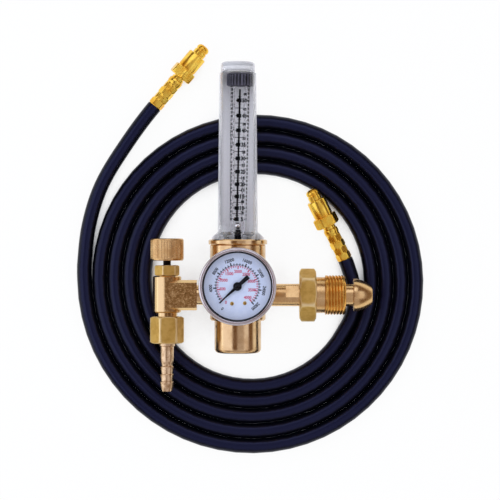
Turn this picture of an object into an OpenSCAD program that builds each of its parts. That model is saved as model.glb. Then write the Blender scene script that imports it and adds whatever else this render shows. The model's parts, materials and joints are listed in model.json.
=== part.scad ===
// Gas regulator with pressure gauge, flow tube and outlet valve, lying on its back inside a flat
// coil of gas hose. Millimetres. The origin is on the table, under the point where the axis of the
// round body (parallel to Y) crosses the axis of the inlet and outlet arms (parallel to X).

/* [Body and bonnet] */
// Height of the body's axis above the table
axis_z = 23; // [22.5:0.1:24]
// Radius of the round body
body_r = 18.3; // [18:0.1:18.6]
// Y where the body starts, at the bonnet
body_start = -16.8; // [-17.2:0.1:-16.4]
// Y where the body ends, at the brass ring
body_end = 33.2; // [32.8:0.1:33.6]
// Radius of the spring bonnet
bonnet_r = 15.35; // [15.2:0.05:15.45]
// Y of the bonnet's closed end
bonnet_end = -38.2; // [-39:0.1:-38]

/* [Flow tube] */
// Radius of the brass ring under the clear cover
ring_r = 19.35; // [19:0.05:19.6]
// Across corners of the cover's hexagon foot
cover_foot_ac = 34.1; // [33.6:0.1:34.6]
// Outer radius of the cover at its foot
cover_foot_r = 13.25; // [13.1:0.05:13.4]
// Outer radius of the cover near its closed end
cover_top_r = 12.15; // [12.05:0.05:12.2]
// Y of the cover's closed end
cover_end = 153.4; // [153:0.1:155]
// Lean of the metering tube inside its cover, degrees
tube_lean = 0.8; // [0:0.1:0.9]
// Diameter of the float ball
ball_d = 4.76; // [4.7:0.01:4.8]

/* [Pressure gauge] */
// Y of the gauge's axis
gauge_y = 6.3; // [6:0.1:6.6]
// Radius of the bezel
bezel_r = 24.9; // [24.7:0.1:25.2]
// Height of the bezel's front face above the table
bezel_z = 72; // [71.8:0.1:72.5]
// Length of the pointer from its axis
pointer_l = 16; // [12:0.5:18]
// Angle of the pointer at zero pressure, from +X
pointer_zero = 222; // [215:1:230]

/* [Inlet] */
// Radius of the inlet nipple's stem
nipple_r = 7.4; // [7.2:0.05:7.4]
// X of the nut's face on the body's side
inlet_nut_x = 40.6; // [40.2:0.1:41]
// Across corners of the inlet nut
inlet_nut_ac = 35.6; // [35:0.1:35.8]
// Radius of the inlet nut's male thread
inlet_thread_r = 13; // [12.8:0.05:13.1]
// X of the nipple's free end
nipple_end_x = 88.4; // [88:0.1:89]

/* [Outlet valve] */
// X of the valve's axis
valve_x = -46.6; // [-46.8:0.1:-46.4]
// Radius of the valve's round barrel
barrel_r = 9.4; // [9.2:0.1:9.6]
// Width of the square arm
arm_w = 19.8; // [19.4:0.1:20]
// Radius of the knob
knob_r = 10.95; // [10.5:0.05:11.5]
// Across corners of the outlet nut
outlet_nut_ac = 22.6; // [21.6:0.1:22.8]

/* [Hose] */
// Outer diameter of the hose
hose_d = 9.8; // [9.3:0.1:9.8]
// Distance between neighbouring turns of the coil
coil_pitch = 10; // [10:0.1:10.4]
// Radius of the coil's innermost turn, at its start angle of zero
coil_start_r = 68; // [68:0.5:70]
// Rings of the swept hose in one turn
rings_per_turn = 24; // [24:12:36]

/* [Hidden] */

$fn = 96;
eps = 0.01;             // overshoot of a cut past the face it opens
running = 0.1;          // radial play of a shaft in its bore
seat_gap = 0.05;        // play between pieces that are screwed together

brass = "#c79a63";
nut_brass = "#b79a45";
gold_brass = "#f2c41d";
steel = "#b9bbc2";
black_plastic = "#3b3a45";
clear_plastic = "#c9c8d4";
rubber = "#15162e";

// Frames -------------------------------------------------------------------------------------

// Local Z runs along +Y on the body's axis.
module on_flow_axis() {
    translate([0, 0, axis_z]) rotate([-90, 0, 0]) children();
}

// Local Z runs along +X on the inlet's axis.
module on_inlet_axis() {
    translate([0, 0, axis_z]) rotate([0, 90, 0]) children();
}

// Local Z runs along +Y on the outlet valve's axis.
module on_valve_axis() {
    translate([valve_x, 0, axis_z]) rotate([-90, 0, 0]) children();
}

// Local Z runs along the metering tube, from the height of its foot.
tube_foot_y = 34;
module on_tube_axis() {
    translate([0, tube_foot_y, axis_z]) rotate([0, 0, -tube_lean]) rotate([-90, 0, 0]) children();
}

module on_gauge_axis() {
    translate([0, gauge_y, 0]) children();
}

// Building blocks ----------------------------------------------------------------------------

// A solid of revolution from [radius, height] points.
module turned(profile) {
    rotate_extrude() polygon(profile);
}

module shaft(r, from, to) {
    translate([0, 0, from]) cylinder(r = r, h = to - from);
}

// A round hole that passes both of its faces.
module hole(r, from, to) {
    shaft(r, from - eps, to + eps);
}

module washer(outer_r, inner_r, from, to) {
    difference() {
        shaft(outer_r, from, to);
        hole(inner_r, from, to);
    }
}

module hexagon(across_corners, from, to) {
    translate([0, 0, from]) cylinder(d = across_corners, h = to - from, $fn = 6);
}

// A hexagon whose corners are turned off at both faces, as on a nut.
module nut_blank(across_corners, from, to, cut) {
    r = across_corners / 2;
    intersection() {
        hexagon(across_corners, from, to);
        turned([[0, from], [r - cut, from], [r, from + cut * 0.6],
            [r, to - cut * 0.6], [r - cut, to], [0, to]]);
    }
}

module o_ring(middle_r, cord_r, at) {
    translate([0, 0, at]) rotate_extrude() translate([middle_r, 0]) circle(cord_r, $fn = 24);
}

function unit(v) = v / norm(v);

// One cross-section of a swept tube: a regular polygon square to the direction "along".
function tube_ring(centre, along, r, sides, turn) =
    let (side = unit(cross(along, [0, 0, 1])), up = cross(side, along))
    [for (j = [0:sides - 1]) let (a = turn + 360 * j / sides)
        centre + r * (cos(a) * side + sin(a) * up)];

// Joins a list of equal rings into one closed tube of triangles.
module skin(rings) {
    n = len(rings[0]);
    last = (len(rings) - 1) * n;
    wall = [for (i = [0:len(rings) - 2], j = [0:n - 1])
        let (a = i * n + j, b = i * n + (j + 1) % n)
        each [[a, b + n, b], [a, a + n, b + n]]];
    caps = [for (j = [1:n - 2]) each [[0, j, j + 1], [last, last + j + 1, last + j]]];
    polyhedron([for (ring = rings) each ring], concat(wall, caps));
}

// A compression spring along Z, standing on Z = 0.
module spring(middle_r, wire_r, length, turns) {
    steps = 12;
    rise = (length - 2 * wire_r) / (turns * steps);
    skin([for (i = [0:turns * steps]) let (a = 360 * i / steps)
        tube_ring([middle_r * cos(a), middle_r * sin(a), wire_r + rise * i],
            [-sin(a), cos(a), 0], wire_r, 6, 0)]);
}

// The outline of a small gear; the first tooth points along +X of its own frame.
function tooth_points(teeth, root_r, tip_r, first, last) =
    let (pitch = 360 / teeth)
    [for (i = [first:last], p = [[-0.26, root_r], [-0.13, tip_r], [0.13, tip_r], [0.26, root_r]])
        p[1] * [cos((i + p[0]) * pitch), sin((i + p[0]) * pitch)]];

// Body and pressure stage --------------------------------------------------------------------

clamp_y = -10;          // ledge that the diaphragm lies against
seat_y = -6;            // lower face of the valve seat
seat_end = -1;
seat_r = 6.5;
poppet_bore_r = 5;
poppet_bore_end = 13;
port_r = 6.6;           // radius of the three screwed ports
port_floor = 10;        // distance of a port's floor from the body's axis
socket_r = 12.6;        // bore that takes the flow cover's foot
socket_floor = 24;
relief_r = 4.9;
relief_floor_z = 14;
gas_way_r = 1.2;
gas_way_offset = 8.5;

module regulator_body() color(brass) difference() {
    on_flow_axis() turned([[0, body_start], [body_r - 0.9, body_start], [body_r, body_start + 0.9],
        [body_r, body_end - 0.7], [body_r - 0.7, body_end], [0, body_end]]);
    on_flow_axis() {
        hole(bonnet_r + seat_gap, body_start, clamp_y);
        shaft(12, clamp_y - eps, seat_y);
        hole(seat_r, seat_y, seat_end);
        shaft(poppet_bore_r, seat_end, poppet_bore_end);
        hole(socket_r, socket_floor, body_end);
        shaft(3.2, 17, socket_floor + eps);
        translate([0, gas_way_offset, 0]) shaft(gas_way_r, seat_y - eps, 19);
        translate([0, gas_way_offset, 19 - gas_way_r]) rotate([90, 0, 0])
            shaft(gas_way_r, 0, gas_way_offset);
        translate([-gas_way_offset - 2, 0, 0]) shaft(gas_way_r + 0.3, 0, socket_floor + eps);
    }
    on_inlet_axis() {
        hole(port_r, port_floor, body_r + 1);
        shaft(1.5, poppet_bore_r - 1, port_floor + eps);
        hole(port_r, -body_r - 1, -port_floor);
    }
    on_gauge_axis() {
        hole(port_r, axis_z + port_floor, axis_z + body_r + 1);
        shaft(1, axis_z + poppet_bore_r - 1, axis_z + port_floor + eps);
    }
    hole(relief_r, 0, relief_floor_z);
    shaft(gas_way_r, relief_floor_z - eps, axis_z - gas_way_offset);
}

module spring_bonnet() color(brass) on_flow_axis() difference() {
    round_r = 3;
    turned(concat([[0, bonnet_end]],
        [for (a = [-90:15:0]) [bonnet_r, bonnet_end] + round_r * [cos(a) - 1, sin(a) + 1]],
        [[bonnet_r, -11.4], [0, -11.4]]));
    hole(12.5, -35.2, -11.4);
    hole(4, bonnet_end, -35.2);
    rotate([0, 0, -158]) translate([0, 0, -20.5]) rotate([0, 90, 0]) shaft(0.75, 12, bonnet_r + 1);
}

module preset_screw() color(steel) on_flow_axis() difference() {
    shaft(3.95, -37.4, -33);
    translate([0, 0, -37.4 - eps]) cylinder(d = 4.6, h = 2.5, $fn = 6);
}

module spring_button() color(steel) on_flow_axis() {
    shaft(9, -32.95, -31.5);
    shaft(4.5, -31.5, -29.5);
}

module main_spring() color(steel) on_flow_axis() {
    translate([0, 0, -31.45]) spring(7, 1.2, 19.1, 5);
}

module diaphragm() color(black_plastic) on_flow_axis() {
    washer(bonnet_r, 3.1, -10.65, clamp_y - 0.02);
}

module slip_ring() color(brass) on_flow_axis() {
    washer(bonnet_r, 12.5, -11.35, -10.7);
}

// Lower plate with the hub that passes the diaphragm, and the pin that lifts the poppet.
module diaphragm_plate() color(steel) on_flow_axis() {
    shaft(9, -12.3, -10.95);
    shaft(3, -10.95, -9.4);
    shaft(1, -9.4, -4);
}

module valve_seat() color(brass) on_flow_axis() difference() {
    union() {
        shaft(seat_r - seat_gap, seat_y + 0.05, seat_end);
        turned([[0, seat_end], [3.2, seat_end], [2, 0.2], [0, 0.2]]);
    }
    hole(1.4, seat_y, 0.2);
}

module valve_poppet() color(steel) on_flow_axis() {
    shaft(1, -4, 0.9);
    shaft(3.4, 0.9, 4.5);
    shaft(1.7, 4.5, 6.5);
}

module poppet_spring() color(steel) on_flow_axis() {
    translate([0, 0, 4.6]) spring(2.6, 0.4, 8.2, 6);
}

// Relief valve at the back -------------------------------------------------------------------

module relief_cap() color(nut_brass) difference() {
    union() {
        nut_blank(14.6, 0, axis_z - body_r - 0.05, 1);
        shaft(relief_r - seat_gap, 3, 9);
    }
    shaft(3.3, 1.6, 9 + eps);
    for (x = [-2.2, 2.2]) translate([x, 0, 0]) hole(0.7, 0, 1.6);
}

module relief_spring() color(steel) translate([0, 0, 1.7]) spring(2.4, 0.35, 7.6, 5);

module relief_poppet() color(brass) {
    shaft(3.1, 9.4, 11);
    shaft(1.7, 6.5, 9.4);
    turned([[0, 11], [2.4, 11], [0.9, 14.3], [0, 14.3]]);
}

// Inlet --------------------------------------------------------------------------------------

neck_end = 76.1;        // X of the shoulder behind the bullet end
bullet_r = 10.8;
bullet_tip_r = 6.1;
nipple_bore_r = 3;
flat_start = 31.5;
flat_end = 40.1;
flat_distance = 5.95;
flat_turn = 25;

// The bullet end narrows ever faster from its full radius to the flat tip.
bullet_start = neck_end + 0.4;
bullet_profile = [for (t = [0:0.125:1])
    [bullet_tip_r + (bullet_r - bullet_tip_r) * (1 - pow(t, 1.8)),
        bullet_start + (nipple_end_x - bullet_start) * t]];

module inlet_nipple() color(brass) on_inlet_axis() difference() {
    turned(concat([[0, port_floor + 0.2], [port_r - seat_gap, port_floor + 0.2],
        [port_r - seat_gap, body_r + 0.05], [nipple_r, body_r + 0.05], [nipple_r, neck_end],
        [bullet_r - 0.4, neck_end]], bullet_profile, [[0, nipple_end_x]]));
    hole(nipple_bore_r, port_floor + 0.2, 18);
    shaft(1.6, 18 - eps, nipple_end_x + eps);
    for (side = [0, 180])
        rotate([0, 0, side - flat_turn])
            translate([-nipple_r - 2, -nipple_r - 1, flat_start])
                cube([nipple_r + 2 - flat_distance, 2 * nipple_r + 2, flat_end - flat_start]);
}

module inlet_filter() color("#a9824f") on_inlet_axis() {
    r = nipple_bore_r - seat_gap;
    turned([[0, port_floor + 1], [2.2, port_floor + 1], [r, 12], [r, 17.9], [0, 17.9]]);
}

module inlet_nut() color(nut_brass) on_inlet_axis() difference() {
    collar_x = inlet_nut_x + 10.9;
    thread_x = collar_x + 5.9;
    thread_end = thread_x + 13.45;
    union() {
        rotate([0, 0, 21.5]) nut_blank(inlet_nut_ac, inlet_nut_x, collar_x, 1.8);
        shaft(11.85, collar_x, thread_x);
        turned([[0, thread_x], [inlet_thread_r, thread_x], [inlet_thread_r, thread_end - 0.9],
            [inlet_thread_r - 0.9, thread_end], [0, thread_end]]);
    }
    hole(nipple_r + running, inlet_nut_x, thread_end);
}

// Pressure gauge -----------------------------------------------------------------------------

block_z = axis_z + body_r + 0.5;
case_z = 48;
case_r = 23.6;
case_inner_r = 22.2;
glass_r = 22.95;        // radius of the lens and its gasket, in the case's wider mouth
mouth_z = 66;
plate_low_z = 55;
plate_high_z = 61;
dial_z = 63.4;
pivot = [6, -8.25];     // sector's axis, from the gauge's axis
screw_spots = [[-3.5, -11], [4.7, -10.7]];

module gauge_socket() color(brass) on_gauge_axis() difference() {
    union() {
        shaft(port_r - seat_gap, axis_z + port_floor + 0.2, block_z);
        translate([-7, -7, block_z]) cube([14, 14, case_z - block_z - 0.05]);
        shaft(4.9, case_z - 0.05, case_z + 1.3);
        translate([-4, -19, case_z + 1.3]) cube([8, 24, 3.7]);
        translate([-4, -19, case_z + 5]) cube([8, 5.5, 5.5]);
    }
    hole(1.2, axis_z + port_floor + 0.2, case_z + 3);
}

module gauge_case() color(brass) on_gauge_axis() difference() {
    turned([[0, case_z], [case_r - 2, case_z], [case_r, case_z + 2], [case_r, 70.9], [0, 70.9]]);
    shaft(case_inner_r, case_z + 1, 71);
    shaft(glass_r + 0.03, mouth_z, 71);
    hole(5, case_z, case_z + 1);
}

module gauge_bezel() color("#cfc4c0") on_gauge_axis() {
    turned([[case_r + 0.05, 64], [bezel_r - 0.4, 64], [bezel_r, 64.6], [bezel_r, bezel_z - 1.5],
        [bezel_r - 1.2, bezel_z], [22.9, bezel_z], [22.45, bezel_z - 0.5], [22.45, bezel_z - 0.95],
        [case_r + 0.05, bezel_z - 0.95]]);
}

module gauge_lens() color(clear_plastic) on_gauge_axis() {
    shaft(glass_r, bezel_z - 2.6, bezel_z - 1);
}

module lens_gasket() color(black_plastic) on_gauge_axis() {
    washer(glass_r, 21.65, mouth_z + 0.05, bezel_z - 2.65);
}

module gauge_dial() color("#c3cbe6") on_gauge_axis() difference() {
    shaft(case_inner_r - 0.1, dial_z, dial_z + 0.6);
    hole(1.2, dial_z, dial_z + 0.6);
    for (spot = screw_spots) translate(spot) hole(0.75, dial_z, dial_z + 0.6);
}

module dial_screws() color(brass) on_gauge_axis() for (spot = screw_spots) translate(spot) {
    shaft(0.7, plate_high_z + 0.2, dial_z + 0.6);
    shaft(1.15, dial_z + 0.6, dial_z + 1.2);
}

// Blade, hub and tail of the pointer, drawn at zero pressure.
module gauge_pointer() color("#2a2f4a") on_gauge_axis() rotate([0, 0, pointer_zero]) difference() {
    union() {
        translate([0, 0, 65.2]) linear_extrude(0.4)
            polygon([[0, -1.1], [pointer_l, -0.2], [pointer_l, 0.2], [0, 1.1], [-9.5, 1.45],
                [-9.5, -1.45]]);
        shaft(2.8, 64.9, 66.2);
    }
    hole(0.6, 64.9, 66.2);
}

module gauge_pinion() color(brass) on_gauge_axis() {
    shaft(0.6, plate_low_z + 0.1, 66.4);
    rotate([0, 0, atan2(pivot[1], pivot[0])]) translate([0, 0, 58.3]) linear_extrude(1.6)
        polygon(tooth_points(8, 0.8, 1.4, 0, 7));
}

module gauge_sector() color(brass) on_gauge_axis() translate(pivot) {
    shaft(0.6, plate_low_z + 0.1, plate_high_z + 0.9);
    shaft(1.5, 58.6, 59.6);
    translate([0, 0, 58.6]) linear_extrude(1) {
        rotate([0, 0, atan2(-pivot[1], -pivot[0]) + 3])
            polygon(concat([[0, 0]], tooth_points(60, 8.6, 9.2, -7, 0)));
        rotate([0, 0, -26.6]) polygon([[0, -1.2], [5.6, -0.7], [5.6, 0.7], [0, 1.2]]);
    }
}

module gauge_link() color(brass) on_gauge_axis() translate([10.5, -10.5, 59.6]) {
    shaft(0.4, 0, 1);
    rotate([0, 0, 42]) translate([-0.8, -0.6, 0.4]) cube([8.2, 1.2, 0.5]);
}

// C-shaped flat tube: a ring of hollow rectangular section, cut open between its ends.
module bourdon_tube() color(brass) on_gauge_axis() difference() {
    washer(17.8, 16.2, 54, 59);
    washer(17.4, 16.6, 54.4, 58.6);
    translate([0, 0, 53]) linear_extrude(7)
        polygon(concat([[0, 0]], [for (a = [-104:47:-10]) 30 * [cos(a), sin(a)]]));
    translate([-4.05, -19.5, 53]) cube([8.1, 6.1, 7]);
}

module movement_plates() color(brass) on_gauge_axis() {
    difference() {
        union() {
            translate([-8.5, -12.6, plate_low_z]) cube([17, 19, 1]);
            translate([-8.5, -12.6, plate_high_z]) cube([17, 19, 1]);
        }
        hole(0.7, plate_low_z, plate_high_z + 1);
        translate(pivot) hole(0.7, plate_low_z, plate_high_z + 1);
        for (spot = screw_spots) translate(spot) hole(0.75, plate_high_z, plate_high_z + 1);
    }
    for (spot = [[-7, 5], [7, 5], [-6.5, -11]])
        translate(spot) shaft(1.1, plate_low_z + 1, plate_high_z);
    for (spot = [[-2.5, 3], [-2.5, -11]]) translate(spot) shaft(1.4, case_z + 5, plate_low_z);
    for (spot = screw_spots) translate(spot) washer(1.3, 0.75, plate_high_z + 1, dial_z);
}

// Flat spiral of thin strip round the pinion's arbor.
module hairspring() color(steel) on_gauge_axis() translate([0, 0, 56.4]) linear_extrude(0.7)
    polygon(concat([for (a = [0:30:900]) (1 + a / 260) * [cos(a), sin(a)]],
        [for (a = [900:-30:0]) (1.15 + a / 260) * [cos(a), sin(a)]]));

// Flow tube ----------------------------------------------------------------------------------

ring_end = 36.5;
foot_end = 40.2;
spigot_start = 26.2;
shoulder_y = 146;
tube_end = 108;         // length of the metering tube from its foot
ball_y = 11.6;          // height of the ball's centre above the tube's foot

module cover_ring() color(brass) on_flow_axis() difference() {
    turned([[0, body_end], [ring_r - 0.5, body_end], [ring_r, body_end + 0.5],
        [ring_r, ring_end - 0.7], [ring_r - 0.7, ring_end], [0, ring_end]]);
    hole(socket_r, body_end, ring_end);
}

module cover_seal() color(rubber) on_flow_axis() o_ring(11.4, 1.05, socket_floor + 1.06);

module flow_cover() color(clear_plastic, 0.4) on_flow_axis() difference() {
    round_r = 2.4;
    cap_r = cover_top_r - 0.85;
    union() {
        shaft(socket_r - seat_gap, spigot_start, ring_end);
        intersection() {
            hexagon(cover_foot_ac, ring_end, 46);
            turned([[0, ring_end], [cover_foot_ac / 2, ring_end], [cover_foot_ac / 2, foot_end - 2.2],
                [cover_foot_r, foot_end + 1.3], [0, foot_end + 1.3]]);
        }
        turned(concat([[0, ring_end], [cover_foot_r, ring_end], [cover_foot_r, foot_end + 1],
            [cover_top_r, shoulder_y], [cap_r, shoulder_y + 0.5]],
            [for (a = [0:15:90]) [cap_r, cover_end] + round_r * [cos(a) - 1, sin(a) - 1]],
            [[0, cover_end]]));
    }
    turned([[0, spigot_start - eps], [10.2, spigot_start - eps], [10.2, 35], [11.6, 38.5],
        [10.7, shoulder_y], [9.4, shoulder_y + 1], [8.6, cover_end - 3], [0, cover_end - 2.4]]);
}

module metering_tube() color(clear_plastic, 0.6) on_tube_axis() difference() {
    turned([[0, 0], [5.3, 0], [6.6, tube_end], [0, tube_end]]);
    hole(2.75, 0, 6);
    turned([[0, 6 - eps], [2.55, 6 - eps], [3.4, tube_end + eps], [0, tube_end + eps]]);
}

// Ribbed cap that centres the tube in its cover; four slots let the gas out.
module tube_cap() color(black_plastic) on_tube_axis() difference() {
    translate([0, 0, tube_end - 4.5]) linear_extrude(8) {
        circle(8.3);
        for (i = [0:19]) rotate(i * 18) translate([8.2, 0]) circle(0.55, $fn = 16);
    }
    hole(6.65, tube_end - 4.5, tube_end);
    hole(3, tube_end, tube_end + 3.5);
}

module float_ball() color(steel) on_tube_axis() translate([0, 0, ball_y]) sphere(d = ball_d);

// Black spool that carries the tube's foot and holds the resting ball above the gas way.
module float_seat() color(black_plastic) on_tube_axis() difference() {
    turned([[0, -16.8], [2.85, -16.8], [2.85, -9.9], [4.8, -9.9], [4.8, -0.05], [2.55, -0.05],
        [2.5, 5.6], [1.75, 6.2], [1.75, 9.1], [0, 9.1]]);
    hole(1, -16.8, 9.1);
}

// Outlet valve -------------------------------------------------------------------------------

arm_end_x = -26.9;
barrel_start = -11.6;
barrel_end = 12.65;
tee_thread_end = -25.5;
tee_thread_r = 7.9;
packing_end = 19.6;
knob_start = 22.6;
knob_end = 37.3;
stem_r = 2.6;
orifice_r = 1.35;
chamber_r = 3.2;

module outlet_tee() color(brass) difference() {
    union() {
        on_valve_axis() turned([[0, barrel_start], [barrel_r - 0.8, barrel_start],
            [barrel_r, barrel_start + 0.8], [barrel_r, barrel_end - 0.8], [barrel_r - 0.8, barrel_end],
            [0, barrel_end]]);
        on_valve_axis() shaft(6.8, -14.8, barrel_start);
        on_valve_axis() shaft(tee_thread_r, tee_thread_end, -14.8);
        translate([valve_x, 0, axis_z]) rotate([90, 0, 90]) linear_extrude(arm_end_x - valve_x)
            arm_section();
        on_inlet_axis() shaft(port_r - seat_gap, arm_end_x - 1, -port_floor - 0.2);
    }
    on_valve_axis() {
        hole(6.45, 7, barrel_end);
        shaft(4.35, 4.5, 7 + eps);
        shaft(chamber_r, 0, 4.5 + eps);
        shaft(orifice_r, -3, eps);
        shaft(2.2, tee_thread_end - eps, -3 + eps);
        turned([[0, tee_thread_end - eps], [4.1, tee_thread_end - eps], [2.2, -23.5], [0, -23.5]]);
    }
    on_inlet_axis() shaft(1.8, valve_x + 1, -port_floor);
}

// Square with wide bevels, as cast.
module arm_section() {
    half = arm_w / 2;
    depth = barrel_r;
    bevel = 1.7;
    polygon([[-half + bevel, -depth], [half - bevel, -depth], [half, -depth + bevel],
        [half, depth - bevel], [half - bevel, depth], [-half + bevel, depth], [-half, depth - bevel],
        [-half, -depth + bevel]]);
}

module packing_nut() color(nut_brass) on_valve_axis() difference() {
    union() {
        rotate([0, 0, 12.5]) nut_blank(16.8, barrel_end + 0.05, packing_end, 1.1);
        shaft(6.4, 7.9, barrel_end + 1);
    }
    hole(stem_r + running, 7.9, packing_end);
}

module stem_o_ring() color(rubber) on_valve_axis() o_ring(3.46, 0.84, 6.2);

module needle_stem() color("#1d1c20") on_valve_axis() difference() {
    turned([[0, -2], [0.3, -2], [2.2, 2.6], [stem_r, 3.2], [stem_r, 35.5], [0, 35.5]]);
    shaft(1.45, 27.5, 35.5 + eps);
}

module flow_knob() color(brass) on_valve_axis() difference() {
    turned([[0, knob_start], [knob_r - 1.4, knob_start], [knob_r - 0.2, knob_start + 1],
        [knob_r, knob_start + 1.6], [knob_r, knob_end - 1], [knob_r - 1, knob_end], [0, knob_end]]);
    hole(stem_r + 0.02, knob_start, 35.5);
    shaft(4, 35.5, knob_end + eps);
}

module knob_screw() color(steel) on_valve_axis() difference() {
    union() {
        shaft(1.4, 28, 35.6);
        shaft(3.4, 35.6, 37);
    }
    translate([-0.4, -4, 36.4]) cube([0.8, 8, 1]);
}

outlet_nut_start = -31.8;
outlet_nut_end = -14.2;
nut_floor = -28.3;

module outlet_nut() color(nut_brass) on_valve_axis() difference() {
    rotate([0, 0, 6.9]) nut_blank(outlet_nut_ac, outlet_nut_start, outlet_nut_end, 1.3);
    hole(tee_thread_r + running, nut_floor, outlet_nut_end);
    hole(5.15 + running, outlet_nut_start, nut_floor);
}

// Sleeve with three ridges for the hose; its flange stays inside the nut.
module hose_barb() color(brass) on_valve_axis() difference() {
    turned([[0, -24.2], [1.9, -24.2], [3.5, -25.9], [7.5, -25.9], [7.5, nut_floor + 0.3],
        [5.15, nut_floor + 0.3], [5.15, -33.6], [4.4, -33.9], [4.45, -41], [4.1, -44.5], [3.7, -46],
        [4.4, -47.3], [3.9, -51.6], [4.5, -52.4], [4, -55.8], [4.6, -57.3], [3.6, -62.6], [3.2, -63.5],
        [0, -63.5]]);
    hole(1.8, -63.5, -24.2);
}

// Hose ---------------------------------------------------------------------------------------

hose_r = hose_d / 2;
coil_centre = [10.7, 9.5];
coil_from = 30;         // winding angles of the coil's two ends, clockwise from +X
coil_to = 1620;
coil_sides = 6;
coil_z = hose_r * cos(30);
run_sides = 8;

function coil_radius(angle) = coil_start_r + coil_pitch * angle / 360;
function coil_point(angle) =
    concat(coil_centre + coil_radius(angle) * [cos(angle), -sin(angle)], [coil_z]);
function coil_heading(angle) = unit(coil_point(angle + 0.5) - coil_point(angle - 0.5));
function coil_ring(angle, ahead) =
    tube_ring(coil_point(angle) + ahead * coil_heading(angle), coil_heading(angle), hose_r, coil_sides, 0);

// Spiral with a straight piece of one hose diameter at each end.
coil_rings = concat([coil_ring(coil_from, -hose_d)],
    [for (angle = [coil_from:360 / rings_per_turn:coil_to]) coil_ring(angle, 0)],
    [coil_ring(coil_to, hose_d)]);

// Least distance between the points of one turn and those of the next.
least_gap = min([for (i = [1:len(coil_rings) - 2 - rings_per_turn], p = coil_rings[i],
    q = coil_rings[i + rings_per_turn]) norm(p - q)]);
echo(coil_least_gap_mm = least_gap);

// A fitting lies along its direction from the mouth where the hose goes in.
inner_mouth = [71.4, 23.4, 6];
inner_turn = 116.6;
inner_rise = 7;
outer_mouth = [-55.4, 125.2, 8.4];
outer_turn = 49.7;
outer_rise = 0;

function direction(turn, rise) = [cos(rise) * cos(turn), cos(rise) * sin(turn), sin(rise)];

// Free stretches: from the coil's straight end to the fitting's mouth, along these points.
inner_route = [[77.7, -5.7, 5], [77.4, 1.6, 5.2], [76.2, 9, 5.4], [74, 16.3, 5.6]];
outer_route = [[-99.3, 46.2, 5.2], [-90.8, 72.7, 6], [-74.8, 99.3, 7.2]];

// A run starts a little above the coil's middle, so that its rounder section stays on the table.
function run_points(route, angle, ahead, mouth) =
    let (start = coil_point(angle) + ahead * coil_heading(angle))
    concat([[start[0], start[1], hose_r * cos(22.5)]], route, [mouth]);
function run_rings(points, first_along, last_along) =
    [for (i = [0:len(points) - 1])
        let (along = i == 0 ? first_along : i == len(points) - 1 ? last_along
            : unit(points[i + 1] - points[i - 1]))
        tube_ring(points[i], along, hose_r, run_sides, 22.5)];

module hose_coil() color(rubber) skin(coil_rings);

module hose_inner_run() color(rubber)
    skin(run_rings(run_points(inner_route, coil_from, -hose_d, inner_mouth),
        -coil_heading(coil_from), direction(inner_turn, inner_rise)));

module hose_outer_run() color(rubber)
    skin(run_rings(run_points(outer_route, coil_to, hose_d, outer_mouth),
        coil_heading(coil_to), direction(outer_turn, outer_rise)));

module on_inner_fitting() {
    translate(inner_mouth) rotate([0, 0, inner_turn]) rotate([0, 90 - inner_rise, 0]) children();
}

module on_outer_fitting() {
    translate(outer_mouth) rotate([0, 0, outer_turn]) rotate([0, 90 - outer_rise, 0]) children();
}

ferrule_l = 22.8;
hose_nut_start = 25.4;
hose_nut_end = 32.3;
thread_end = 44.3;
fitting_l = 52;
tail_r = 3.5;

// Sleeve crimped onto the hose in three bands.
module ferrule() color(gold_brass) difference() {
    turned([[0, 0], [4.9, 0], [5.05, 1.5], [5.05, 4.2], [4.3, 5.2], [4.3, 6.2], [5.05, 7.4], [5.05, 10.8],
        [4.3, 11.8], [4.3, 12.8], [5.05, 14], [5.05, 18], [4.6, 19], [4.9, 20], [4.9, ferrule_l - 0.5],
        [4.4, ferrule_l], [0, ferrule_l]]);
    hole(2.75, 0, ferrule_l);
}

// Swivel tail: its stem is held by the ferrule, its rounded nose stands out of the nut.
module tail() color(gold_brass) difference() {
    turned([[0, 0.5], [2.7, 0.5], [2.7, ferrule_l + 0.05], [4.2, ferrule_l + 0.05], [4.2, ferrule_l + 1.8],
        [tail_r, ferrule_l + 1.8], [tail_r, thread_end + 0.4], [4.3, thread_end + 0.4], [4.3, 47.6],
        [3.8, 48], [3.8, 48.6], [4.3, 49], [4.3, 49.8], [3.6, 51.2], [2.4, fitting_l], [0, fitting_l]]);
    hole(1.4, 0.5, fitting_l);
}

module hose_nut(turn) color(gold_brass) difference() {
    union() {
        rotate([0, 0, 30 + turn]) nut_blank(16.7, hose_nut_start, hose_nut_end, 0.9);
        turned([[0, hose_nut_end - 1], [6.35, hose_nut_end - 1], [6.35, thread_end - 0.6],
            [5.75, thread_end], [0, thread_end]]);
    }
    hole(tail_r + running, hose_nut_start, thread_end);
}

module inner_ferrule() on_inner_fitting() ferrule();
module outer_ferrule() on_outer_fitting() ferrule();
module inner_tail() on_inner_fitting() tail();
module outer_tail() on_outer_fitting() tail();
module inner_hose_nut() on_inner_fitting() hose_nut(0);
module outer_hose_nut() on_outer_fitting() hose_nut(11);

// Nodes --------------------------------------------------------------------------------------

regulator_body();
spring_bonnet();
preset_screw();
main_spring();
spring_button();
diaphragm();
diaphragm_plate();
slip_ring();
valve_seat();
valve_poppet();
poppet_spring();
inlet_filter();
inlet_nipple();
inlet_nut();
relief_cap();
relief_spring();
relief_poppet();
gauge_socket();
gauge_case();
gauge_bezel();
gauge_lens();
lens_gasket();
gauge_dial();
dial_screws();
gauge_pointer();
gauge_pinion();
gauge_sector();
gauge_link();
bourdon_tube();
movement_plates();
hairspring();
flow_cover();
metering_tube();
tube_cap();
float_ball();
float_seat();
cover_seal();
cover_ring();
outlet_tee();
packing_nut();
needle_stem();
stem_o_ring();
flow_knob();
knob_screw();
outlet_nut();
hose_barb();
hose_coil();
hose_inner_run();
hose_outer_run();
inner_ferrule();
outer_ferrule();
inner_tail();
outer_tail();
inner_hose_nut();
outer_hose_nut();
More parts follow.
